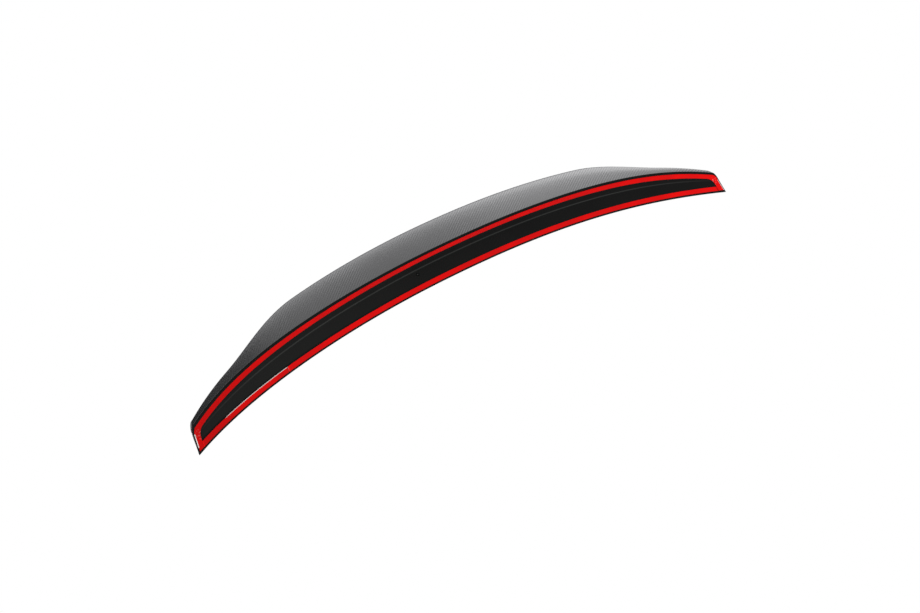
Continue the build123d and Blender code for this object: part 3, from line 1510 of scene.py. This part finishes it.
@dataclass(frozen=True)
class Flag:
    """Black card that shades the reflections on one side, and that the camera doesn't see."""

    name: str
    place: Place
    size: float
    black: Colour = (0.02, 0.02, 0.02, 1.0)

    def build(self) -> None:
        """Adds the card, turned towards the origin."""
        back = unit(np.array(self.place))
        side = unit(np.cross([0.0, 0.0, 1.0], back)) * self.size / 2
        card = stage_card(self.name, np.array(self.place), side, np.cross(back, side))
        material, graph, shader = new_material(self.name)
        graph.fill(shader, {"Base Color": self.black, "Specular IOR Level": 0.0})
        card.data.materials.append(material)
        card.visible_camera = False
        card.visible_shadow = False


@dataclass
class Studio:
    """Pale floor, soft lamps, white background and the camera."""

    floor_size: float = 5.0
    floor_fade: Span = (1.0, 2.3)
    floor_gap: float = 0.5 * MM
    floor_colour: Colour = (0.90, 0.90, 0.90, 1.0)
    floor_roughness: float = 0.9
    ambient: float = 0.45
    lamps: tuple[Softbox, ...] = (
        Softbox("right_rear_softbox", (2.9, -1.7, 0.6), 3.4, 28.0),
        Softbox("rear_strip", (1.35, -2.55, 1.0), 4.0, 42.0, 1.3),
        Softbox("top_softbox", (-0.6, 0.8, 3.0), 2.5, 60.0),
        Softbox("under_softbox", (-8.3, -1.0, -3.4), 5.0, 880.0),
    )
    flag: Flag = Flag("left_rear_flag", (-1.2, -2.2, -0.6), 3.25)
    camera_place: Place = (-1.34319, -0.58381, -2.11431)
    camera_turn: Place = (176.8248, 34.3988, 20.5646)
    focal_pixels: float = 1400.0
    frame_pixels: float = 920.0
    sensor: float = 36.0

    def build_floor(self, height: float) -> None:
        """Floor that is seen from above only, lets every other ray through and fades to its rim.

        Args:
            height: its Z.
        """
        reach = np.eye(3) * self.floor_size / 2
        floor = stage_card("studio_floor", np.array([0.0, 0.0, height]), reach[0], reach[1])
        material, graph, shader = new_material("pale_floor")
        looks = {"Base Color": self.floor_colour, "Roughness": self.floor_roughness}
        graph.fill(shader, {**looks, "Specular IOR Level": 0.0})
        seen = graph.node("LightPath").outputs["Is Camera Ray"]
        above = graph.math("SUBTRACT", 1.0, graph.node("NewGeometry").outputs["Backfacing"])
        place = graph.node("TexCoord").outputs["Object"]
        radius = graph.node("VectorMath", {"Vector": place}, operation="LENGTH").outputs["Value"]
        fade = graph.span(radius, (1.0, 0.0), self.floor_fade)
        shown = graph.math("MULTIPLY", graph.math("MULTIPLY", seen, above), fade)
        end = material.node_tree.nodes["Material Output"].inputs["Surface"]
        graph.either(shown, graph.node("BsdfTransparent"), shader, end)
        floor.data.materials.append(material)

    def build_world(self) -> None:
        """White to the camera and in reflections, and a plain ambient level for the rest."""
        world = bpy.data.worlds.new("studio_world")
        bpy.context.scene.world = world
        world.use_nodes = True
        graph = Graph(world.node_tree)
        path = graph.node("LightPath").outputs
        mirror = graph.math("MAXIMUM", path["Is Glossy Ray"], path["Is Transmission Ray"])
        shown = graph.math("MAXIMUM", path["Is Camera Ray"], mirror)
        levels = ({"Color": WHITE, "Strength": level} for level in (self.ambient, 1.0))
        dim, full = (graph.node("Background", level) for level in levels)
        graph.either(shown, dim, full, world.node_tree.nodes["World Output"].inputs["Surface"])

    def build_camera(self) -> None:
        """Camera at the photograph's place, below and behind the left side."""
        lens = bpy.data.cameras.new("camera")
        lens.sensor_fit = "HORIZONTAL"
        lens.sensor_width = self.sensor
        lens.lens = self.sensor * self.focal_pixels / self.frame_pixels
        camera = bpy.data.objects.new("camera", lens)
        camera.location = self.camera_place
        camera.rotation_euler = Euler(np.radians(self.camera_turn), "XYZ")
        bpy.context.scene.collection.objects.link(camera)
        bpy.context.scene.camera = camera

    def build(self, lowest: float) -> None:
        """Sets up the whole studio.

        Args:
            lowest: Z of the spoiler's lowest point.
        """
        bpy.context.scene.view_settings.view_transform = "Standard"
        self.build_world()
        self.build_floor(lowest - self.floor_gap)
        self.flag.build()
        for lamp in self.lamps:
            lamp.build()
        self.build_camera()


def plain(box: tuple[Vector, Vector]) -> list[list[float]]:
    """Both corners of a box as lists of numbers."""
    return [[float(v) for v in corner] for corner in box]


def main() -> None:
    """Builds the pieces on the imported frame, dresses them and sets up the studio."""
    logging.basicConfig(level=logging.INFO, format="%(name)s: %(message)s")
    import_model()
    solid_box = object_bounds()
    groups = Groups(grain_group(), twill_group())
    form = SpoilerForm()
    moulding = Moulding(form).build(CarbonFinish().build(groups), MouldingFinish().build(groups))
    attach(moulding, "spoiler_body")
    Tape(form).build(FoamFinish().build(groups), LinerFinish().build(groups))
    Studio().build(solid_box[0][2])
    {"cad": plain(solid_box), "visual": plain(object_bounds())}


if __name__ == "__main__":
    main()
